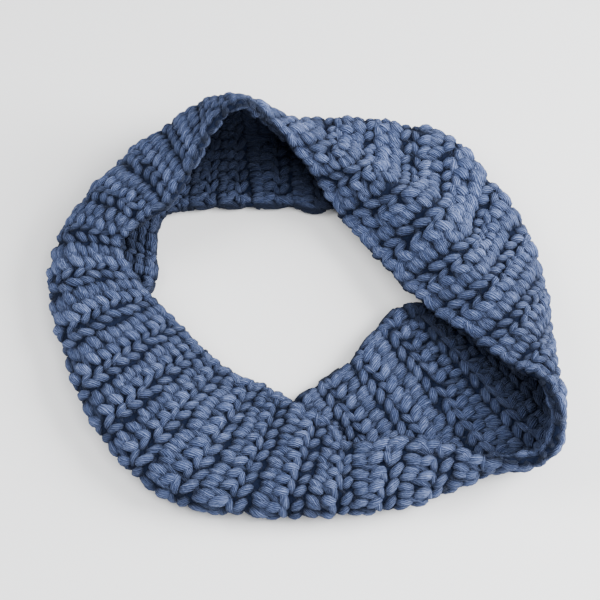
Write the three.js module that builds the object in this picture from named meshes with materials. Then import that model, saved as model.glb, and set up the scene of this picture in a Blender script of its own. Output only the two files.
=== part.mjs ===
// Infinity scarf: one crocheted band joined end to end, lying as it was dropped on a table.
// Millimetres, +Z up, the table is z = 0 and the front of the scarf faces -Y.
import * as THREE from "three";

// Driving sizes
const WALL = 7; // thickness of the cloth between its ribs
const RIB_RISE = 1.1; // how far a rib stands out from the wall on each face
const SEAM_GAP = 0.4; // space left between two neighbouring stretches
const REST_MID = 4.6; // height of the middle of a layer that rests on the table
const PRESS_LOW = 1.4; // an underside lower than this is pressed flat on the table
const PRESS_HIGH = 4; // an underside higher than this keeps its own shape
const FOLD_RUN = 5; // the upper layer has turned over this far in from the fold
const FOLD_RISE = 5.8; // and this far above the fold
const FOLD_LEAD = 7; // the lower layer lies on the table up to this far before the fold
const STEPS_PER_RIB = 5; // points along the loop for each rib
const COLOUR = 0x4b5f80;

// The loop has a rib for every two rows of crochet. Each row below is the middle of the cloth
// at the seam that starts a rib, going round from the back of the loop by way of the right:
//   foot   edge of the band that starts on the table
//   fold   outermost point, where the lower layer turns up and back
//   back   upper layer just above the fold
//   ridge  upper layer where it bends again
//   crown  free upper edge of the band
const SECTIONS = [
  { foot: [-31, 67, 5], fold: [-36, 122, 11], back: [-36, 118, 36], ridge: [-34, 105, 59], crown: [-31, 88, 78] },
  { foot: [-6, 67, 5], fold: [-8, 124, 11], back: [-8, 115, 28], ridge: [-12, 103, 44], crown: [-19, 92, 57] },
  { foot: [18, 65, 5], fold: [17, 127, 11], back: [16, 112, 19], ridge: [12, 88, 38], crown: [-4, 84, 40] },
  { foot: [40, 80, 5], fold: [42, 126, 11], back: [40, 100, 17], ridge: [33, 73, 37], crown: [11, 70, 27] },
  { foot: [66, 94, 5], fold: [65, 121, 11], back: [63, 84, 17], ridge: [56, 56, 37], crown: [26, 52, 13] },
  { foot: [92, 84, 5], fold: [91, 113, 11], back: [86, 67, 18], ridge: [78, 42, 36], crown: [45, 26, 12] },
  { foot: [104, 58, 5], fold: [115, 80, 11], back: [105, 42, 19], ridge: [93, 14, 35], crown: [63, -2, 16] },
  { foot: [108, 36, 5], fold: [133, 46, 11], back: [120, 17, 22], ridge: [104, -13, 37], crown: [81, -24, 21] },
  { foot: [110, 14, 5], fold: [142, 8, 12], back: [135, -9, 29], ridge: [120, -38, 40], crown: [103, -51, 31] },
  { foot: [104, -4, 5], fold: [144, -24, 13], back: [139, -41, 30], ridge: [131, -60, 42], crown: [121, -73, 39] },
  { foot: [91, -9, 5], fold: [144, -55, 13], back: [143, -67, 30], ridge: [140, -78, 42], crown: [135, -87, 47] },
  { foot: [76, -8, 5], fold: [145, -86, 11], back: [145, -94, 26], ridge: [143, -102, 38], crown: [141, -112, 47] },
  { foot: [61, -11, 8], fold: [134, -112, 11], back: [136, -116, 20], ridge: [136, -120, 27], crown: [132, -127, 34] },
  { foot: [46, -28, 10], fold: [106, -121, 11], back: [107, -124, 19], ridge: [109, -125, 24], crown: [110, -125, 29] },
  { foot: [29, -51, 9], fold: [78, -134, 11], back: [80, -133, 19], ridge: [83, -126, 24], crown: [86, -116, 26] },
  { foot: [10, -64, 5], fold: [51, -143, 11], back: [53, -139, 19], ridge: [56, -125, 24], crown: [60, -111, 28] },
  { foot: [-6, -78, 5], fold: [26, -146, 11], back: [27, -142, 19], ridge: [28, -127, 22], crown: [29, -112, 22] },
  { foot: [-18, -94, 5], fold: [1, -148, 11], back: [3, -142, 19], ridge: [10, -117, 21], crown: [16, -96, 18] },
  { foot: [-34, -101, 5], fold: [-30, -146, 11], back: [-24, -135, 18], ridge: [-16, -113, 19], crown: [-5, -81, 15] },
  { foot: [-51, -96, 5], fold: [-62, -141, 11], back: [-52, -130, 18], ridge: [-38, -105, 18], crown: [-21, -67, 9] },
  { foot: [-70, -84, 5], fold: [-88, -125, 11], back: [-78, -114, 18], ridge: [-60, -89, 18], crown: [-41, -56, 8] },
  { foot: [-87, -68, 5], fold: [-106, -104, 11], back: [-96, -94, 18], ridge: [-77, -72, 18], crown: [-56, -42, 8] },
  { foot: [-102, -48, 5], fold: [-122, -78, 11], back: [-112, -71, 18], ridge: [-91, -52, 19], crown: [-69, -27, 9] },
  { foot: [-107, -24, 5], fold: [-134, -44, 11], back: [-124, -41, 20], ridge: [-105, -28, 21], crown: [-84, -13, 15] },
  { foot: [-96, -4, 5], fold: [-145, -7, 11], back: [-135, -8, 21], ridge: [-118, -1, 22], crown: [-96, 0, 21] },
  { foot: [-88, 10, 5], fold: [-145, 31, 11], back: [-136, 26, 23], ridge: [-122, 24, 24], crown: [-107, 22, 24] },
  { foot: [-88, 28, 5], fold: [-133, 61, 11], back: [-126, 54, 25], ridge: [-110, 42, 34], crown: [-94, 32, 35] },
  { foot: [-88, 47, 5], fold: [-113, 90, 11], back: [-107, 81, 26], ridge: [-93, 60, 39], crown: [-78, 39, 43] },
  { foot: [-83, 61, 5], fold: [-88, 116, 11], back: [-84, 105, 28], ridge: [-76, 82, 44], crown: [-66, 56, 53] },
  { foot: [-70, 65, 5], fold: [-64, 122, 11], back: [-63, 120, 32], ridge: [-60, 103, 52], crown: [-56, 73, 64] },
  { foot: [-52, 67, 5], fold: [-50, 124, 11], back: [-51, 120, 36], ridge: [-49, 106, 58], crown: [-44, 84, 75] },
];
const RIBS = SECTIONS.length;

// The stretches of the band, each from one seam to another
const STRETCHES = [
  { name: "back_wall", from: 29, to: 33 },
  { name: "back_canopy", from: 2, to: 5 },
  { name: "right_strip", from: 5, to: 9 },
  { name: "right_flap", from: 9, to: 12 },
  { name: "corner_trough", from: 12, to: 15 },
  { name: "front_trough", from: 15, to: 18 },
  { name: "front_fold", from: 18, to: 22 },
  { name: "left_fold", from: 22, to: 26 },
  { name: "upper_left_fold", from: 26, to: 29 },
];

// Points kept between two neighbouring control points of a section
const SPANS = [2, 2, 2, 2, 1, 2, 3];
// The stations on the turn itself, where the inside of the fold is squeezed thinner
const TURN_FROM = 5;
const TURN_TO = 8;
const SQUEEZE = 0.8;

const vec = (p) => new THREE.Vector3(p[0], p[1], p[2]);

// Control points of one section: the named ones, two more that keep the lower layer down, and
// one that rounds the turn over the fold
function controls(row) {
  const foot = vec(row.foot);
  const fold = vec(row.fold);
  const back = vec(row.back);
  const run = fold.clone().sub(foot).setZ(0);
  const low = foot.clone().addScaledVector(run, 0.4).setZ((REST_MID + foot.z) / 2);
  const lead = Math.min(FOLD_LEAD, 0.3 * run.length());
  const near = foot.clone().add(run.clone().setLength(run.length() - lead)).setZ(REST_MID + 0.2);
  const turn = back.clone().sub(fold).setZ(0);
  turn.setLength(Math.min(FOLD_RUN, 0.5 * turn.length()));
  const over = fold.clone().add(turn);
  over.z += FOLD_RISE;
  return [foot, low, near, fold, over, back, vec(row.ridge), vec(row.crown)];
}

const CONTROLS = SECTIONS.map(controls);

// Smooth curve through the same control point of neighbouring sections
function alongLoop(rib, k) {
  const i = Math.floor(rib);
  const t = rib - i;
  const [a, b, c, d] = [-1, 0, 1, 2].map((s) => CONTROLS[(i + s + 2 * RIBS) % RIBS][k]);
  const w = [(-t + 2 * t * t - t ** 3) / 2, (2 - 5 * t * t + 3 * t ** 3) / 2];
  const v = [(t + 4 * t * t - 3 * t ** 3) / 2, (-t * t + t ** 3) / 2];
  const p = a.clone().multiplyScalar(w[0]).addScaledVector(b, w[1]);
  return p.addScaledVector(c, v[0]).addScaledVector(d, v[1]);
}

// Middle line of the cloth across the band, from foot to crown
function middleLine(rib) {
  const points = CONTROLS[0].map((_, k) => alongLoop(rib, k));
  const curve = new THREE.CatmullRomCurve3(points, false, "centripetal");
  const line = [];
  SPANS.forEach((count, k) => {
    for (let s = 0; s < count; s += 1) {
      line.push(curve.getPoint((k + s / count) / SPANS.length));
    }
  });
  line.push(points[points.length - 1]);
  return line;
}

// Closed outline of the cloth at one place on the loop, with the ribs raised on both faces: the
// face towards the loop's hollow, the crown edge, the face that shows when worn, the foot edge
function outline(rib, shift) {
  const here = middleLine(rib);
  const ahead = middleLine(rib + 0.05);
  const behind = middleLine(rib - 0.05);
  const last = here.length - 1;
  const rise = RIB_RISE * Math.sqrt(Math.abs(Math.sin(Math.PI * rib)));
  const half = WALL / 2 + rise;
  const squeezed = WALL / 2 - SQUEEZE;
  const hollow = [];
  const worn = [];
  const ends = [];
  here.forEach((p, k) => {
    const along = ahead[k].clone().sub(behind[k]).normalize();
    const across = here[Math.min(k + 1, last)].clone().sub(here[Math.max(k - 1, 0)]).normalize();
    const normal = along.clone().cross(across).normalize();
    const onward = across.clone().cross(normal);
    const middle = p.clone().addScaledVector(onward, shift);
    const inside = k >= TURN_FROM && k <= TURN_TO ? squeezed : half;
    hollow.push(middle.clone().addScaledVector(normal, inside));
    worn.push(middle.clone().addScaledVector(normal, -half));
    if (k === 0 || k === last) {
      const out = across.clone().multiplyScalar(k === 0 ? -half : half);
      const rim = [0.5, -0.5].map((s) => middle.clone().addScaledVector(out, 0.8)
        .addScaledVector(normal, s * half));
      ends.push(rim);
    }
  });
  const ring = [...hollow, ends[1][0], ends[1][1], ...worn.reverse(), ends[0][1], ends[0][0]];
  ring.forEach((p) => {
    if (p.z < PRESS_HIGH) {
      p.z = Math.max(0, (p.z - PRESS_LOW) * (PRESS_HIGH / (PRESS_HIGH - PRESS_LOW)));
    }
  });
  return ring;
}

// One stretch of the band as a closed solid
function stretchRings(stretch) {
  const count = (stretch.to - stretch.from) * STEPS_PER_RIB;
  const rings = [];
  for (let s = 0; s <= count; s += 1) {
    const shift = s === 0 ? SEAM_GAP / 2 : s === count ? -SEAM_GAP / 2 : 0;
    rings.push(outline(stretch.from + s / STEPS_PER_RIB, shift));
  }
  return rings;
}

function solid(rings) {
  const around = rings[0].length;
  const index = [];
  for (let s = 0; s + 1 < rings.length; s += 1) {
    for (let k = 0; k < around; k += 1) {
      const a = s * around + k;
      const b = s * around + ((k + 1) % around);
      index.push(a, a + around, b, b, a + around, b + around);
    }
  }
  // End faces: outline points across the thickness from each other are joined in pairs
  const endFace = (start, flip) => {
    const width = (around - 4) / 2;
    const top = [around - 1, ...Array(width).keys(), width].map((k) => start + k);
    const under = [around - 2];
    for (let k = 0; k < width; k += 1) {
      under.push(2 * width + 1 - k);
    }
    under.push(width + 1);
    for (let k = 0; k + 1 < top.length; k += 1) {
      const [a, b] = [top[k], top[k + 1]];
      const [c, d] = [start + under[k], start + under[k + 1]];
      const quad = [a, b, c, c, b, d];
      index.push(...(flip ? quad.reverse() : quad));
    }
  };
  endFace(0, false);
  endFace((rings.length - 1) * around, true);
  const geometry = new THREE.BufferGeometry();
  const flat = rings.flat().flatMap((p) => [p.x, p.y, p.z]);
  geometry.setAttribute("position", new THREE.Float32BufferAttribute(flat, 3));
  geometry.setIndex(index);
  return geometry;
}

// The whole scarf, moved so that the middle of its footprint is the origin
const rings = STRETCHES.map(stretchRings);
const box = new THREE.Box3().setFromPoints(rings.flat(2));
const centre = box.getCenter(new THREE.Vector3()).setZ(0);
rings.flat(2).forEach((p) => p.sub(centre));

const scarf = new THREE.Group();
scarf.name = "infinity_scarf";
STRETCHES.forEach((stretch, k) => {
  const material = new THREE.MeshStandardMaterial({ color: COLOUR, roughness: 0.95 });
  const mesh = new THREE.Mesh(solid(rings[k]), material);
  mesh.name = stretch.name;
  scarf.add(mesh);
});

export default scarf;
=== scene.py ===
import math
import bpy
import numpy as np
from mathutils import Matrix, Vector


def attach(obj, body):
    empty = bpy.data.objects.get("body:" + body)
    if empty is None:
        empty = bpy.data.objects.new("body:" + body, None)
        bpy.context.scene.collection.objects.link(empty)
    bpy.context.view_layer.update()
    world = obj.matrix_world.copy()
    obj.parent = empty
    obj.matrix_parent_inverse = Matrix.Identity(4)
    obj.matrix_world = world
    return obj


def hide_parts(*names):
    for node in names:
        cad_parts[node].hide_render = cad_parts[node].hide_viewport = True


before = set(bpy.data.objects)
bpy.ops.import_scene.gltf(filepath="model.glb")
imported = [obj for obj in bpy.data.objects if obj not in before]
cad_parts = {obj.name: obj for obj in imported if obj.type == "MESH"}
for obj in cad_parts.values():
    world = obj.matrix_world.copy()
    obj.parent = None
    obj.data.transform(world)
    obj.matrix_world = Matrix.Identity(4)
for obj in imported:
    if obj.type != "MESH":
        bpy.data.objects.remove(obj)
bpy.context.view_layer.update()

# The lay of the band
# One crocheted band, joined end to end, was dropped on a table and lies half folded over. The
# seams between its two-row ribs give its shape: foot edge, fold, upper layer and crown edge.
MM = 0.001
# middle of the scarf's footprint in mm, which becomes the origin
CENTRE = np.array([-0.4087, -10.2766, 0.0])
# height of the cloth's middle where it lies on the table
REST_MID = 5.0
# how far the turn over the fold runs and rises, and where the cloth starts up towards the fold
FOLD_RUN, FOLD_RISE, FOLD_LEAD, LEAD_RISE = 5.0, 5.8, 7.0, 0.2
# the largest share of a short layer that the turn and the lead take, and the low point's place
RUN_MOST, LEAD_MOST, LOW_PLACE = 0.5, 0.3, 0.4
# points of the seams in mm, a row for each seam
LAY = [
    # foot            fold              back              ridge             crown
    ((-31, 67, 5), (-36, 122, 11), (-36, 118, 36), (-34, 105, 59), (-31, 88, 78)),
    ((-6, 67, 5), (-8, 124, 11), (-8, 115, 28), (-12, 103, 44), (-19, 92, 57)),
    ((18, 65, 5), (17, 127, 11), (16, 112, 19), (12, 88, 38), (-4, 84, 40)),
    ((40, 80, 5), (42, 126, 11), (40, 100, 17), (33, 73, 37), (11, 70, 27)),
    ((66, 94, 5), (65, 121, 11), (63, 84, 17), (56, 56, 37), (26, 52, 13)),
    ((92, 84, 5), (91, 113, 11), (86, 67, 18), (78, 42, 36), (45, 26, 12)),
    ((104, 58, 5), (115, 80, 11), (105, 42, 19), (93, 14, 35), (63, -2, 16)),
    ((108, 36, 5), (133, 46, 11), (120, 17, 22), (104, -13, 37), (81, -24, 21)),
    ((110, 14, 5), (142, 8, 12), (135, -9, 29), (120, -38, 40), (103, -51, 31)),
    ((104, -4, 5), (144, -24, 13), (139, -41, 30), (131, -60, 42), (121, -73, 39)),
    ((91, -9, 5), (144, -55, 13), (143, -67, 30), (140, -78, 42), (135, -87, 47)),
    ((76, -8, 5), (145, -86, 11), (145, -94, 26), (143, -102, 38), (141, -112, 47)),
    ((61, -11, 8), (134, -112, 11), (136, -116, 20), (136, -120, 27), (132, -127, 34)),
    ((46, -28, 10), (106, -121, 11), (107, -124, 19), (109, -125, 24), (110, -125, 29)),
    ((29, -51, 9), (78, -134, 11), (80, -133, 19), (83, -126, 24), (86, -116, 26)),
    ((10, -64, 5), (51, -143, 11), (53, -139, 19), (56, -125, 24), (60, -111, 28)),
    ((-6, -78, 5), (26, -146, 11), (27, -142, 19), (28, -127, 22), (29, -112, 22)),
    ((-18, -94, 5), (1, -148, 11), (3, -142, 19), (10, -117, 21), (16, -96, 18)),
    ((-34, -101, 5), (-30, -146, 11), (-24, -135, 18), (-16, -113, 19), (-5, -81, 15)),
    ((-51, -96, 5), (-62, -141, 11), (-52, -130, 18), (-38, -105, 18), (-21, -67, 9)),
    ((-70, -84, 5), (-88, -125, 11), (-78, -114, 18), (-60, -89, 18), (-41, -56, 8)),
    ((-87, -68, 5), (-106, -104, 11), (-96, -94, 18), (-77, -72, 18), (-56, -42, 8)),
    ((-102, -48, 5), (-122, -78, 11), (-112, -71, 18), (-91, -52, 19), (-69, -27, 9)),
    ((-107, -24, 5), (-134, -44, 11), (-124, -41, 20), (-105, -28, 21), (-84, -13, 15)),
    ((-96, -4, 5), (-145, -7, 11), (-135, -8, 21), (-118, -1, 22), (-96, 0, 21)),
    ((-88, 10, 5), (-145, 31, 11), (-136, 26, 23), (-122, 24, 24), (-107, 22, 24)),
    ((-88, 28, 5), (-133, 61, 11), (-126, 54, 25), (-110, 42, 34), (-94, 32, 35)),
    ((-88, 47, 5), (-113, 90, 11), (-107, 81, 26), (-93, 60, 39), (-78, 39, 43)),
    ((-83, 61, 5), (-88, 116, 11), (-84, 105, 28), (-76, 82, 44), (-66, 56, 53)),
    ((-70, 65, 5), (-64, 122, 11), (-63, 120, 32), (-60, 103, 52), (-56, 73, 64)),
    ((-52, 67, 5), (-50, 124, 11), (-51, 120, 36), (-49, 106, 58), (-44, 84, 75)),
]
RIBS = len(LAY)
STITCHES = 16
# ribs and stitches that the grid runs on past its ends and edges
MARGIN = 1
# grid steps to a rib and to a stitch
STEPS_RIB, STEPS_STITCH = 8, 4
# size in mm of a rib and a stitch whose strands have their own width, neither thinned nor fattened
RIB_WIDTH, STITCH_WIDTH = 26.0, 8.0
LEAST_STRETCH, MOST_STRETCH = 0.85, 1.3


def seam_controls(row):
    """The named points of one seam, with two that keep the lower layer down and one that
    rounds the turn over the fold."""
    foot, fold, back, ridge, crown = (np.array(p, float) for p in row)
    run = (fold - foot) * (1, 1, 0)
    reach = np.linalg.norm(run)
    low = foot + LOW_PLACE * run
    low[2] = (REST_MID + foot[2]) / 2
    near = foot + run * (1 - min(FOLD_LEAD, LEAD_MOST * reach) / reach)
    near[2] = REST_MID + LEAD_RISE
    turn = (back - fold) * (1, 1, 0)
    width = np.linalg.norm(turn)
    over = fold + turn * (min(FOLD_RUN, RUN_MOST * width) / width)
    over[2] += FOLD_RISE
    return np.array([foot, low, near, fold, over, back, ridge, crown])


SEAMS = np.array([seam_controls(row) for row in LAY])


def seam_at(rib):
    """Control points between two seams, from a smooth curve along the loop."""
    i = math.floor(rib)
    t = rib - i
    a, b, c, d = (SEAMS[(i + s) % RIBS] for s in (-1, 0, 1, 2))
    return 0.5 * (2 * b + (c - a) * t + (2 * a - 5 * b + 4 * c - d) * t**2
                  + (3 * b - a - 3 * c + d) * t**3)


def smooth_line(points, steps=14):
    """Centripetal curve through a seam's points."""
    ends = np.vstack([2 * points[0] - points[1], points, 2 * points[-1] - points[-2]])
    line = []
    for i in range(len(points) - 1):
        p = ends[i:i + 4]
        k = np.cumsum(np.r_[0, np.linalg.norm(np.diff(p, axis=0), axis=1) ** 0.5])
        t = np.linspace(k[1], k[2], steps, endpoint=False)[:, None]
        near = [((k[j + 1] - t) * p[j] + (t - k[j]) * p[j + 1]) / (k[j + 1] - k[j])
                for j in range(3)]
        wide = [((k[j + 2] - t) * near[j] + (t - k[j]) * near[j + 1]) / (k[j + 2] - k[j])
                for j in range(2)]
        line.append(((k[2] - t) * wide[0] + (t - k[1]) * wide[1]) / (k[2] - k[1]))
    return np.vstack(line + [points[-1:]])


def even_stations(line, count):
    """Evenly spaced points on a line, and the line's length."""
    length = np.r_[0, np.cumsum(np.linalg.norm(np.diff(line, axis=0), axis=1))]
    stations = np.linspace(0, length[-1], count)
    return np.stack([np.interp(stations, length, line[:, k]) for k in range(3)], 1), length[-1]


def run_on(edge, inner, step):
    """Points that carry a seam straight on past one of its edges, the nearest first."""
    way = (edge - inner) / np.linalg.norm(edge - inner)
    return [edge + way * step * k for k in range(1, STEPS_STITCH * MARGIN + 1)]


def cloth_middle(first, last, per_rib):
    """Middle of the cloth as a grid, stations along the loop by stations across the band, with
    its outward direction and how far it is drawn wider than the strands' own width."""
    ribs = np.linspace(first, last, round((last - first) * per_rib) + 1)
    rows = []
    for rib in ribs:
        seam, length = even_stations(smooth_line(seam_at(rib)), STITCHES * STEPS_STITCH + 1)
        step = length / STITCHES / STEPS_STITCH
        before = run_on(seam[0], seam[1], step)[::-1]
        after = run_on(seam[-1], seam[-2], step)
        rows.append(np.vstack([before, seam, after]))
    grid = np.array(rows)
    along = np.gradient(grid, axis=0)
    across = np.gradient(grid, axis=1)
    outward = np.cross(across, along)
    outward /= np.linalg.norm(outward, axis=2)[..., None]
    rib_width = np.linalg.norm(along, axis=2) * per_rib / RIB_WIDTH
    stitch_width = np.linalg.norm(across, axis=2) * STEPS_STITCH / STITCH_WIDTH
    stretch = np.clip((rib_width * stitch_width) ** 0.5, LEAST_STRETCH, MOST_STRETCH)
    return ribs, (grid - CENTRE) * MM, outward, stretch


# The form that the stitches are laid on
# It isn't a piece of the scarf but the middle of its cloth. It carries the outward direction and
# a map that counts ribs one way and stitches the other, and is taken away at the end.
SPAN_RIBS = RIBS + 2 * MARGIN
SPAN_STITCHES = STITCHES + 2 * MARGIN


def new_mesh(name, points, faces):
    mesh = bpy.data.meshes.new(name)
    mesh.from_pydata(points.reshape(-1, 3).tolist(), [], faces.reshape(-1, 4).tolist())
    mesh.update()
    return mesh


def new_object(name, data):
    made = bpy.data.objects.new(name, data)
    bpy.context.scene.collection.objects.link(made)
    return made


def band_guide():
    ribs, grid, outward, stretch = cloth_middle(-MARGIN, RIBS + MARGIN, STEPS_RIB)
    rows, columns = grid.shape[:2]
    corner = np.arange(rows * columns).reshape(rows, columns)
    faces = np.stack([corner[:-1, :-1], corner[:-1, 1:], corner[1:, 1:], corner[1:, :-1]], -1)
    mesh = new_mesh("band_guide", grid, faces)
    u = (ribs + MARGIN) / SPAN_RIBS
    v = np.linspace(0, 1, columns)
    places = np.stack(np.meshgrid(u, v, indexing="ij"), -1).reshape(-1, 2)
    used = np.zeros(len(mesh.loops), int)
    mesh.loops.foreach_get("vertex_index", used)
    mesh.uv_layers.new(name="lay").uv.foreach_set("vector", places[used].ravel())
    mesh.attributes.new("outward", "FLOAT_VECTOR", "POINT").data.foreach_set(
        "vector", outward.ravel())
    mesh.attributes.new("stretch", "FLOAT", "POINT").data.foreach_set("value", stretch.ravel())
    return new_object("band_guide", mesh)


guide = band_guide()

# The yarn
# Bulky, softly twisted yarn, spun from fibre in several blues, so light and dark streaks run along
# it. Little light gets down between the strands and into hollows, so painted shade darkens the
# yarn's colour there, and in the grooves of its plies.
YARN_DEEP = (0.013, 0.023, 0.064)
YARN_MID = (0.073, 0.104, 0.225)
YARN_LIGHT = (0.205, 0.257, 0.455)
# how strong the streak is at which each blue comes
DEEP_AT, MID_AT, LIGHT_AT = 0.30, 0.55, 0.85
# fine plies round the yarn, grain across it, and how fast the grain changes along it
PLIES, FINENESS, CHANGE = 16.0, 5.0, 90.0
# how the plies wander, their share in the height, and their share in the colour: painted light on
# the ply ridges and painted shade in the grooves
DRIFT_FINENESS, WANDER, PLY_HEIGHT, PLY_PAINTED_SHADE = 1.3, 8.0, 0.5, 0.10
# keeps the grain of one strand unlike the next one's, and a strand's own share in its shade
APART, TONE_SHARE = 97.0, 0.10
# painted shade in a crease: distance from the cloth's middle in mm, and share of the painted shade
# colour
SHADE_CREASE_NEAR, SHADE_CREASE_FAR, CREASE_PAINTED_SHADE = 1.9, 5.0, 0.92
# painted shade in a hollow: share of directions closed off, and share of the painted shade colour
SHADE_HOLLOW_OPEN, SHADE_HOLLOW_SHUT, HOLLOW_PAINTED_SHADE = 0.10, 0.85, 0.85
# the painted shade colour, as a share of the deepest blue
SHADE_COLOUR_SHARE = 0.25


def socket(tree, way, name, kind):
    return tree.interface.new_socket(name=name, in_out=way, socket_type=kind)


def add(tree, kind, inputs=None, **settings):
    """A node with its settings, and with numbers or other nodes' outputs on its inputs."""
    made = tree.nodes.new(kind)
    for key, value in settings.items():
        setattr(made, key, value)
    for place, value in (inputs or {}).items():
        if isinstance(place, str):
            into = next(s for s in made.inputs if s.enabled and s.name == place)
        else:
            into = made.inputs[place]
        if isinstance(value, bpy.types.NodeSocket):
            tree.links.new(value, into)
        else:
            into.default_value = value
    return made


def first_output(made):
    return next(s for s in made.outputs if s.enabled)


def maths(tree, operation, *values):
    return add(tree, "ShaderNodeMath", dict(enumerate(values)), operation=operation).outputs[0]


def combine(tree, x, y, z=0.0):
    return add(tree, "ShaderNodeCombineXYZ", {0: x, 1: y, 2: z}).outputs[0]


def separate(tree, vector):
    return add(tree, "ShaderNodeSeparateXYZ", {0: vector}).outputs


def attribute(tree, name, output="Fac"):
    return add(tree, "ShaderNodeAttribute", attribute_name=name).outputs[output]


def dimmed(colour, share):
    return (*[share * c for c in colour], 1)


def fibre_group():
    """Fine plies and fibres that run along a strand: a height, and light and dark fibre streaks,
    with painted light on the ply ridges and painted shade in the grooves between them.
    """
    tree = bpy.data.node_groups.new("yarn fibres", "ShaderNodeTree")
    for name in ("Plies", "Fineness", "Change along"):
        socket(tree, "INPUT", name, "NodeSocketFloat")
    socket(tree, "OUTPUT", "Height", "NodeSocketFloat")
    socket(tree, "OUTPUT", "Streak and ply shade", "NodeSocketFloat")
    inp = tree.nodes.new("NodeGroupInput").outputs
    out = tree.nodes.new("NodeGroupOutput").inputs
    around = separate(tree, attribute(tree, "around", "Vector"))
    run = maths(tree, "MULTIPLY_ADD", attribute(tree, "along"), inp["Change along"],
                maths(tree, "MULTIPLY", attribute(tree, "tone"), APART))
    place = combine(tree, around["X"], around["Y"], run)
    drift = add(tree, "ShaderNodeTexNoise", {
        "Vector": place, "Scale": DRIFT_FINENESS, "Detail": 0.0}).outputs[0]
    grain = add(tree, "ShaderNodeTexNoise", {
        "Vector": place, "Scale": inp["Fineness"], "Detail": 3.0, "Roughness": 0.65}).outputs[0]
    angle = maths(tree, "ARCTAN2", around["Y"], around["X"])
    turn = maths(tree, "MULTIPLY_ADD", drift, WANDER,
                 maths(tree, "MULTIPLY", angle, inp["Plies"]))
    ply = maths(tree, "COSINE", turn)
    tree.links.new(maths(tree, "MULTIPLY_ADD", ply, PLY_HEIGHT, grain), out["Height"])
    # colour value: fibre grain, the yarn's own heathered streaks, plus painted light on ply ridges
    # and painted shade in their grooves
    tree.links.new(maths(tree, "MULTIPLY_ADD", ply, PLY_PAINTED_SHADE, grain), out["Streak and ply shade"])
    return tree


def yarn_material():
    """Heathered yarn: shade by strand and by streak, painted shade in creases, hollows and ply
    grooves, matt, with a soft halo of fibre.
    """
    mat = bpy.data.materials.new("crocheted yarn")
    mat.use_nodes = True
    tree = mat.node_tree
    shader = tree.nodes["Principled BSDF"].inputs
    fibres = add(tree, "ShaderNodeGroup", node_tree=fibre_group())
    fibres.inputs["Plies"].default_value = PLIES
    fibres.inputs["Fineness"].default_value = FINENESS
    fibres.inputs["Change along"].default_value = CHANGE
    shade = maths(tree, "MULTIPLY_ADD", attribute(tree, "tone"), TONE_SHARE,
                  fibres.outputs["Streak and ply shade"])
    ramp = add(tree, "ShaderNodeValToRGB", {"Fac": shade})
    stops = ramp.color_ramp.elements
    stops[0].position, stops[0].color = DEEP_AT, (*YARN_DEEP, 1)
    stops[1].position, stops[1].color = LIGHT_AT, (*YARN_LIGHT, 1)
    stops.new(MID_AT).color = (*YARN_MID, 1)
    # painted shade: yarn that lies deep, near the cloth's middle, is darkened as if in a crease's
    # shadow
    crease_shade = add(tree, "ShaderNodeMapRange", {
        "Value": attribute(tree, "depth"), "From Min": SHADE_CREASE_NEAR, "From Max": SHADE_CREASE_FAR,
        "To Min": CREASE_PAINTED_SHADE, "To Max": 0.0})
    # painted shade: yarn in a hollow that the band closes off is darkened, as a baked shadow
    hollow_shade = add(tree, "ShaderNodeMapRange", {
        "Value": attribute(tree, "shut"), "From Min": SHADE_HOLLOW_OPEN, "From Max": SHADE_HOLLOW_SHUT,
        "To Min": 0.0, "To Max": HOLLOW_PAINTED_SHADE})
    # painted shade: the stronger of the crease and hollow shade mixes the yarn towards near-black
    painted_shade = maths(tree, "MAXIMUM", crease_shade.outputs[0], hollow_shade.outputs[0])
    shade_mix = add(tree, "ShaderNodeMix", {
        "Factor": painted_shade, "A": ramp.outputs["Color"], "B": dimmed(YARN_DEEP, SHADE_COLOUR_SHARE)},
        data_type="RGBA")
    tree.links.new(first_output(shade_mix), shader["Base Color"])
    shader["Roughness"].default_value = 0.85
    shader["Sheen Weight"].default_value = 0.06
    shader["Sheen Roughness"].default_value = 0.5
    shader["Sheen Tint"].default_value = (0.50, 0.60, 0.90, 1)
    shader["Specular IOR Level"].default_value = 0.12
    bump = add(tree, "ShaderNodeBump", {
        "Strength": 1.0, "Distance": 0.0007, "Height": fibres.outputs["Height"]})
    tree.links.new(bump.outputs["Normal"], shader["Normal"])
    return mat


yarn = yarn_material()

# The stitches
# Half double crochet, worked back and forth: on each face a rib shows fat upright legs, small
# slanted bars and a rope of lying loops. Each strand dives into the cloth at both ends.

# a strand's start, top and end, each in ribs along, stitches across and mm outwards, and then
# its half width in mm
FACE_STRANDS = [
    # lying loop
    ((0.01, 0.62, -0.3), (0.11, 0.05, 1.3), (0.21, -0.52, -0.2), 3.05),
    # upright bar and the slanted bar it turns into
    ((0.24, -0.62, -0.2), (0.325, -0.05, 1.7), (0.40, 0.48, 0.2), 2.6),
    ((0.35, 0.40, 0.0), (0.49, 0.10, 2.1), (0.66, -0.26, -0.3), 3.35),
    # the two legs, side by side
    ((0.60, 0.20, -0.3), (0.79, 0.16, 1.7), (0.975, 0.03, -0.6), 2.9),
    ((0.605, 0.02, -0.3), (0.79, -0.20, 1.6), (0.97, -0.38, -0.6), 2.9),
    # a strand that crosses under them
    ((0.30, -0.62, -0.4), (0.60, -0.46, 1.0), (0.93, -0.54, -0.6), 2.5),
]
# the turns of the yarn at the two edges, two to a rib
EDGE_STRANDS = [
    ((-0.06, -0.30, -1.0), (0.16, -0.34, 1.6), (0.42, -0.80, -0.6), 3.1),
    ((0.40, -0.85, -0.8), (0.68, -0.42, 1.8), (0.97, -0.28, -1.0), 3.1),
]
STRAND_POINTS = 7
# half width of a strand's ends, as a share of its middle
END_SHARE = 0.42
# how full a strand's arch and its swell are: the lower the power, the fuller
ARCH_POWER, SWELL_POWER = 0.7, 0.5


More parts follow.
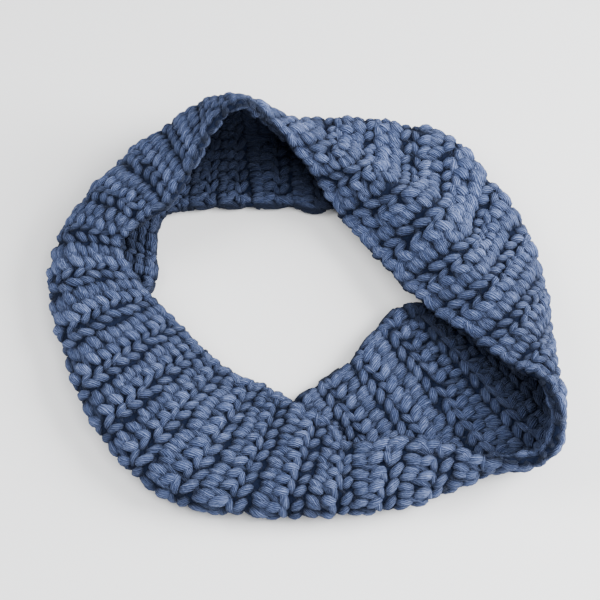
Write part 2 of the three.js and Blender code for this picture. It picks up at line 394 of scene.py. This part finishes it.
def strand(start, top, end):
    """Points of one strand: it rises, arches over its top and goes down into the cloth."""
    start, top, end = (np.array(p, float) for p in (start, top, end))
    t = np.linspace(0, 1, STRAND_POINTS)[:, None]
    pull = 2 * top - (start + end) / 2
    line = (1 - t) ** 2 * start + 2 * t * (1 - t) * pull + t**2 * end
    rise = start[2] + (end[2] - start[2]) * t[:, 0]
    arch = np.sin(np.pi * t[:, 0]) ** ARCH_POWER
    line[:, 2] = rise + (top[2] - (start[2] + end[2]) / 2) * arch
    return line


def stitch_curve(name, strands):
    """One stitch as poly curves. Both faces are alike: the inner is the outer turned over."""
    data = bpy.data.curves.new(name, "CURVE")
    data.dimensions = "3D"
    for start, top, end, half in strands:
        outer = strand(start, top, end)
        inner = outer * (-1, 1, -1) + (1, 0, 0)
        swell = np.sin(np.pi * np.linspace(0, 1, STRAND_POINTS)) ** SWELL_POWER
        for line in (outer, inner):
            spline = data.splines.new("POLY")
            spline.points.add(STRAND_POINTS - 1)
            spline.points.foreach_set("co", np.c_[line, np.ones(STRAND_POINTS)].ravel())
            spline.points.foreach_set("radius", half * (END_SHARE + (1 - END_SHARE) * swell))
    return new_object(name, data)


def position(tree):
    return add(tree, "GeometryNodeInputPosition").outputs[0]


def stored(tree, name, kind="FLOAT"):
    return first_output(add(
        tree, "GeometryNodeInputNamedAttribute", {"Name": name}, data_type=kind))


def keep(tree, geometry, name, value, kind="FLOAT"):
    """Store a value on every point under a name."""
    return add(tree, "GeometryNodeStoreNamedAttribute", {
        "Geometry": geometry, "Name": name, "Value": value}, data_type=kind).outputs[0]


def scaled(tree, vector, factor):
    return add(tree, "ShaderNodeVectorMath", {0: vector, "Scale": factor},
               operation="SCALE").outputs[0]


def summed(tree, one, other):
    return add(tree, "ShaderNodeVectorMath", {0: one, 1: other}, operation="ADD").outputs[0]


def stitch_copies(tree, inp):
    """A copy of the stitch on a point for each stitch, its place counted in ribs and stitches."""
    index = add(tree, "GeometryNodeInputIndex").outputs[0]
    # the half keeps the division clear of rounding
    rib = maths(tree, "FLOOR",
                maths(tree, "DIVIDE", maths(tree, "ADD", index, 0.5), inp["Stitches"]))
    across = maths(tree, "SUBTRACT", index, maths(tree, "MULTIPLY", rib, inp["Stitches"]))
    points = add(tree, "GeometryNodePoints", {
        "Count": maths(tree, "MULTIPLY", inp["Ribs"], inp["Stitches"]),
        "Position": combine(tree, maths(tree, "ADD", rib, inp["First rib"]),
                            maths(tree, "ADD", across, inp["First stitch"]))})
    stitch = add(tree, "GeometryNodeObjectInfo", {"Object": inp["Stitch"]})
    copies = add(tree, "GeometryNodeInstanceOnPoints", {
        "Points": points.outputs[0], "Instance": stitch.outputs["Geometry"]})
    return add(tree, "GeometryNodeRealizeInstances", {0: copies.outputs[0]}).outputs[0]


# which random draw gives a strand its shade, its place and its spin
TONE_DRAW, PLACE_DRAW, SPIN_DRAW = 1, 2, 3


def strand_chance(tree, inp, low, high, draw, kind="FLOAT"):
    """A random value that is the same all along a strand."""
    index = add(tree, "GeometryNodeInputIndex").outputs[0]
    whole = add(tree, "GeometryNodeFieldOnDomain", {0: index}, domain="CURVE", data_type="INT")
    return first_output(add(tree, "FunctionNodeRandomValue", {
        "Min": low, "Max": high, "ID": whole.outputs[0],
        "Seed": maths(tree, "ADD", inp["Seed"], draw)}, data_type=kind))


def on_band(tree, band, place, value, kind="FLOAT_VECTOR"):
    """A value of the guide at a place on its map."""
    return first_output(add(tree, "GeometryNodeSampleUVSurface", {
        "Mesh": band, "Value": value, "UV Map": stored(tree, "lay", "FLOAT_VECTOR"),
        "Sample UV": place}, data_type=kind))


# To tell how shut in a place is, for the painted shade in hollows, it looks in many directions,
# from
# CLEAR off the cloth's middle and LOOK_FAR onward, in metres. Each ring of them has a flat part
# and an upward part.
CLEAR, LOOK_FAR = 0.008, 0.12
LOOK_RINGS = ((0.5, 0.87), (0.82, 0.57), (0.97, 0.26))
LOOK_TURNS = 8
LOOK_WAYS = [(0, 0, 1)] + [
    (math.cos(turn * 2 * math.pi / LOOK_TURNS) * flat,
     math.sin(turn * 2 * math.pi / LOOK_TURNS) * flat, up)
    for flat, up in LOOK_RINGS for turn in range(LOOK_TURNS)]


def share_shut(tree, band, look_from):
    """The share of the directions that the band itself closes off."""
    shut = 0.0
    for way in LOOK_WAYS:
        ray = add(tree, "GeometryNodeRaycast", {
            "Target Geometry": band, "Source Position": look_from,
            "Ray Direction": way, "Ray Length": LOOK_FAR})
        hit = add(tree, "GeometryNodeSwitch", {
            "Switch": ray.outputs["Is Hit"], "False": 0.0, "True": 1.0}, input_type="FLOAT")
        shut = maths(tree, "ADD", hit.outputs[0], shut)
    return maths(tree, "DIVIDE", shut, float(len(LOOK_WAYS)))


def laid_on_band(tree, inp, band, strands):
    """Strands moved from places counted in ribs and stitches to their places on the band."""
    where = separate(tree, position(tree))
    chance = separate(tree, strand_chance(
        tree, inp, (-1, -1, -1), (1, 1, 1), PLACE_DRAW, "FLOAT_VECTOR"))
    rib = maths(tree, "MULTIPLY_ADD", chance["X"], inp["Shift"], where["X"])
    # a stitch is narrower than a rib, so its shift is twice the share
    stitch = maths(tree, "MULTIPLY_ADD", chance["Y"],
                   maths(tree, "MULTIPLY", inp["Shift"], 2.0), where["Y"])
    height = maths(tree, "MULTIPLY_ADD", chance["Z"], inp["Lift"], where["Z"])
    place = combine(
        tree,
        maths(tree, "DIVIDE", maths(tree, "ADD", rib, float(MARGIN)), float(SPAN_RIBS)),
        maths(tree, "DIVIDE", maths(tree, "ADD", stitch, float(MARGIN)), float(SPAN_STITCHES)))
    middle = on_band(tree, band, place, position(tree))
    outward = on_band(tree, band, place, stored(tree, "outward", "FLOAT_VECTOR"))
    stretch = on_band(tree, band, place, stored(tree, "stretch"), "FLOAT")
    clear = maths(tree, "MULTIPLY", maths(tree, "SIGN", height), CLEAR)
    look_from = summed(tree, middle, scaled(tree, outward, clear))
    # the share closed off sets how much painted shade the yarn gets in hollows
    strands = keep(tree, strands, "shut", share_shut(tree, band, look_from))
    # where the cloth is drawn wider, the strands are fatter
    strands = keep(tree, strands, "drawn", stretch)
    lift = scaled(tree, outward, maths(tree, "MULTIPLY", height, MM))
    return add(tree, "GeometryNodeSetPosition", {
        "Geometry": strands, "Position": summed(tree, middle, lift)}).outputs[0]


# points round the yarn, of which every other one is pulled in
SECTION_POINTS, SECTION_SIZE, SECTION_DIP = 10, 1.03, -0.10


def yarn_section(tree):
    """The section of the yarn, with five soft lobes. Its points keep their place on it under a
    name, for the grain of the fibres."""
    ring = add(tree, "GeometryNodeCurvePrimitiveCircle", {
        "Resolution": SECTION_POINTS, "Radius": 1.0})
    dip = maths(tree, "MODULO", add(tree, "GeometryNodeInputIndex").outputs[0], 2.0)
    size = maths(tree, "MULTIPLY_ADD", dip, SECTION_DIP, SECTION_SIZE)
    lobed = add(tree, "GeometryNodeSetPosition", {
        "Geometry": ring.outputs[0], "Position": scaled(tree, position(tree), size)})
    return keep(tree, lobed.outputs[0], "around", position(tree), "FLOAT_VECTOR")


def spun_yarn(tree, inp, strands):
    """Yarn along the strands, with its lobes and plies spun round them."""
    run = add(tree, "GeometryNodeSplineParameter").outputs["Length"]
    strands = keep(tree, strands, "along", run)
    begin = maths(tree, "MULTIPLY", strand_chance(tree, inp, 0.0, 1.0, SPIN_DRAW), 2 * math.pi)
    spun = add(tree, "GeometryNodeSetCurveTilt", {
        "Curve": strands, "Tilt": maths(tree, "MULTIPLY_ADD", run, inp["Twist"], begin)})
    radius = add(tree, "GeometryNodeInputRadius").outputs[0]
    half = maths(tree, "MULTIPLY", radius, stored(tree, "drawn"))
    tube = add(tree, "GeometryNodeCurveToMesh", {
        "Curve": spun.outputs[0], "Profile Curve": yarn_section(tree),
        "Scale": maths(tree, "MULTIPLY", half, MM), "Fill Caps": True})
    return add(tree, "GeometryNodeSetShadeSmooth", {"Geometry": tube.outputs[0]}).outputs[0]


# lowest place of the yarn over the table, in metres
TABLE_GAP = 0.0002


def crochet_tree():
    """Repeats a stitch over ribs and stitches, lays it on the band and spins the yarn on it."""
    tree = bpy.data.node_groups.new("crochet", "GeometryNodeTree")
    tree.is_modifier = True
    socket(tree, "INPUT", "Geometry", "NodeSocketGeometry")
    socket(tree, "INPUT", "Stitch", "NodeSocketObject")
    socket(tree, "INPUT", "Band", "NodeSocketObject")
    # Shift is a share of a rib, Lift is in mm, and Twist in radians to a metre
    for name, kind, value in (
        ("First rib", "NodeSocketFloat", 0.0), ("Ribs", "NodeSocketInt", 1),
        ("First stitch", "NodeSocketFloat", 0.5), ("Stitches", "NodeSocketInt", STITCHES),
        ("Shift", "NodeSocketFloat", 0.06), ("Lift", "NodeSocketFloat", 0.5),
        ("Twist", "NodeSocketFloat", 150.0), ("Seed", "NodeSocketInt", 4),
    ):
        socket(tree, "INPUT", name, kind).default_value = value
    socket(tree, "INPUT", "Yarn", "NodeSocketMaterial")
    socket(tree, "OUTPUT", "Geometry", "NodeSocketGeometry")
    inp = tree.nodes.new("NodeGroupInput").outputs
    band = add(tree, "GeometryNodeObjectInfo", {"Object": inp["Band"]}).outputs["Geometry"]

    strands = keep(tree, stitch_copies(tree, inp), "tone",
                   strand_chance(tree, inp, 0.0, 1.0, TONE_DRAW))
    spun = spun_yarn(tree, inp, laid_on_band(tree, inp, band, strands))

    # how far each place is from the cloth's middle, in mm, which sets the painted shade in creases
    span = add(tree, "GeometryNodeProximity", {0: band}, target_element="FACES")
    deep = keep(tree, spun, "depth", maths(tree, "DIVIDE", span.outputs["Distance"], MM))

    # what lies on the table is pressed flat
    at = separate(tree, position(tree))
    pressed = add(tree, "GeometryNodeSetPosition", {
        "Geometry": deep,
        "Position": combine(tree, at["X"], at["Y"],
                            maths(tree, "MAXIMUM", at["Z"], TABLE_GAP))})
    whole = add(tree, "GeometryNodeRealizeInstances", {0: pressed.outputs[0]})
    dyed = add(tree, "GeometryNodeSetMaterial", {
        "Geometry": whole.outputs[0], "Material": inp["Yarn"]})
    tree.links.new(dyed.outputs[0], tree.nodes.new("NodeGroupOutput").inputs[0])
    return tree


CROCHET = crochet_tree()
body_stitch = stitch_curve("body stitch", FACE_STRANDS)
crown_turn = stitch_curve("crown turn", EDGE_STRANDS)
foot_turn = stitch_curve("foot turn", [
    (*[(x, -y, z) for x, y, z in places], half) for *places, half in EDGE_STRANDS])


def crochet(name, inputs):
    """A piece of crochet as a plain mesh."""
    piece = new_object(name, bpy.data.meshes.new(name))
    maker = piece.modifiers.new("crochet", "NODES")
    maker.node_group = CROCHET
    values = {**inputs, "Band": guide, "Yarn": yarn}
    for item in CROCHET.interface.items_tree:
        if item.in_out == "INPUT" and item.name in values:
            maker[item.identifier] = values[item.name]
    bpy.context.view_layer.update()
    graph = bpy.context.evaluated_depsgraph_get()
    mesh = bpy.data.meshes.new_from_object(piece.evaluated_get(graph))
    piece.modifiers.clear()
    piece.data = mesh
    mesh.name = name
    return piece


# The band, stretch by stretch
# One long piece of crochet, here in the stretches that show, each with its two worked edges.
# The last row is joined to the first at the back, where the wall stands up.
STRETCHES = [
    # name, first rib and last
    ("back_wall", 29, 33), ("back_canopy", 2, 5), ("right_strip", 5, 9),
    ("right_flap", 9, 12), ("corner_trough", 12, 15), ("front_trough", 15, 18),
    ("front_fold", 18, 22), ("left_fold", 22, 26), ("upper_left_fold", 26, 29),
]


def stretch_runs():
    """Each stretch as runs of ribs: what passes the last rib starts again at the first."""
    for name, first, last in STRETCHES:
        yield name + "_yarn", first, min(last, RIBS) - first
        if last > RIBS:
            yield name + "_yarn_join", 0, last - RIBS


for label, start, count in stretch_runs():
    for part, stitch, first_stitch, stitches in (
            (label, body_stitch, 0.5, STITCHES),
            (label + "_crown_edge", crown_turn, float(STITCHES), 1),
            (label + "_foot_edge", foot_turn, 0.0, 1)):
        piece = crochet(part, {
            "Stitch": stitch, "First rib": float(start), "Ribs": count,
            "First stitch": first_stitch, "Stitches": stitches, "Seed": 3 + 7 * start})
        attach(piece, "root")

# The cloth under the stitches
# The same yarn, where it crosses inside the fabric and closes the gaps between the strands. It
# is a closed ring of cloth, thinner than the stitches, and stands for the nine solids. Its colour
# is painted shade, near black, so the gaps between the strands look dark.
# half its thickness in mm, its grid steps to a rib, and its lowest place in metres
CORE_HALF = 1.6
CORE_STEPS_RIB = 4
CORE_GAP = 0.0004
# its darkest and lightest painted shade colour, as shares of the yarn's deepest blue
CORE_SHADE_DARKEST, CORE_SHADE_LIGHTEST = 0.15, 0.5


def core_mesh():
    _, grid, outward, _ = cloth_middle(0, RIBS, CORE_STEPS_RIB)
    # without the last row, which is the first again, and without the margins past the edges
    inside = slice(STEPS_STITCH * MARGIN, -STEPS_STITCH * MARGIN)
    grid, outward = grid[:-1, inside], outward[:-1, inside]
    top = grid + outward * CORE_HALF * MM
    under = (grid - outward * CORE_HALF * MM)[:, ::-1]
    points = np.concatenate([top, under], axis=1)
    points[..., 2] = np.maximum(points[..., 2], CORE_GAP)
    rows, columns = points.shape[:2]
    corner = np.arange(rows * columns).reshape(rows, columns)
    onward = np.roll(corner, -1, axis=0)
    faces = np.stack(
        [corner, np.roll(corner, -1, axis=1), np.roll(onward, -1, axis=1), onward], -1)
    return new_mesh("band_core", points, faces)


def core_shade_material():
    """Matt yarn coloured near black as painted shade, where little light reaches."""
    mat = bpy.data.materials.new("yarn inside the cloth, painted shade")
    mat.use_nodes = True
    tree = mat.node_tree
    shader = tree.nodes["Principled BSDF"].inputs
    where = add(tree, "ShaderNodeTexCoord").outputs["Object"]
    tangle = add(tree, "ShaderNodeTexNoise", {
        "Vector": where, "Scale": 420.0, "Detail": 3.0}).outputs["Fac"]
    ramp = add(tree, "ShaderNodeValToRGB", {"Fac": tangle})
    # painted shade: both ends of the ramp are near black, so the gaps between the strands look
    # shaded
    ramp.color_ramp.elements[0].color = dimmed(YARN_DEEP, CORE_SHADE_DARKEST)
    ramp.color_ramp.elements[1].color = dimmed(YARN_DEEP, CORE_SHADE_LIGHTEST)
    tree.links.new(ramp.outputs["Color"], shader["Base Color"])
    shader["Roughness"].default_value = 0.95
    shader["Specular IOR Level"].default_value = 0.1
    bump = add(tree, "ShaderNodeBump", {"Distance": 0.001, "Height": tangle})
    tree.links.new(bump.outputs["Normal"], shader["Normal"])
    return mat


core = new_object("band_core", core_mesh())
core.data.shade_smooth()
core.data.materials.append(core_shade_material())
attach(core, "root")
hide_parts(*[name for name, _, _ in STRETCHES])

for helper in (body_stitch, crown_turn, foot_turn, guide):
    bpy.data.objects.remove(helper)

# The table
# A plain pale table that the scarf lies on. It is stage, not a part of the scarf.
TABLE_HALF = 3.0
TABLE_COLOUR = (0.88, 0.885, 0.89, 1)
table = new_object("table", new_mesh(
    "table", np.array([(x * TABLE_HALF, y * TABLE_HALF, 0)
                       for x, y in ((-1, -1), (1, -1), (1, 1), (-1, 1))]), np.arange(4)))
cover = bpy.data.materials.new("white table")
cover.use_nodes = True
cover.node_tree.nodes["Principled BSDF"].inputs["Base Color"].default_value = TABLE_COLOUR
cover.node_tree.nodes["Principled BSDF"].inputs["Roughness"].default_value = 0.6
table.data.materials.append(cover)

# The light
# Soft daylight from all round, with large soft boxes at the left, at the right and in front. The
# right one is the strongest, so the raised strip and flap are lit and the hollows stay dark,
# helped by the painted shade in the yarn.
ROOM_COLOUR, ROOM_STRENGTH = (0.97, 0.98, 1.0, 1), 0.40
world = bpy.data.worlds.new("room")
world.use_nodes = True
world.node_tree.nodes["Background"].inputs["Color"].default_value = ROOM_COLOUR
world.node_tree.nodes["Background"].inputs["Strength"].default_value = ROOM_STRENGTH
bpy.context.scene.world = world


def soft_lamp(name, place, size, power):
    """A square lamp that faces the middle of the table."""
    data = bpy.data.lights.new(name, "AREA")
    data.size = size
    data.energy = power
    lamp = new_object(name, data)
    lamp.location = place
    lamp.rotation_euler = (-Vector(place)).to_track_quat("-Z", "Y").to_euler()


soft_lamp("left softbox", (-1.1, 0.1, 1.1), 1.1, 24.0)
soft_lamp("right softbox", (1.2, 0.0, 0.65), 0.9, 66.0)
soft_lamp("front softbox", (0.4, -0.7, 1.2), 0.9, 19.0)

# The camera
# It looks down at the scarf from the front, at the photograph's angle. The photograph doesn't
# tell how far off it was taken, so the distance is a guess.
TILT = math.radians(56)
REACH = 1.1
# at the scarf's middle, in a frame of 600 by 600
METRES_PER_PIXEL = 0.0006
FRAME_PIXELS = 600
target = Vector((-CENTRE[0] * MM, -CENTRE[1] * MM, 0))
eye = target + Vector((0, -REACH * math.cos(TILT), REACH * math.sin(TILT)))
view = bpy.data.cameras.new("camera")
view.sensor_width = 36.0
view.lens = view.sensor_width * (REACH / METRES_PER_PIXEL) / FRAME_PIXELS
view.clip_start = 0.05
camera = new_object("camera", view)
camera.location = eye
camera.rotation_euler = (target - eye).to_track_quat("-Z", "Y").to_euler()
bpy.context.scene.camera = camera
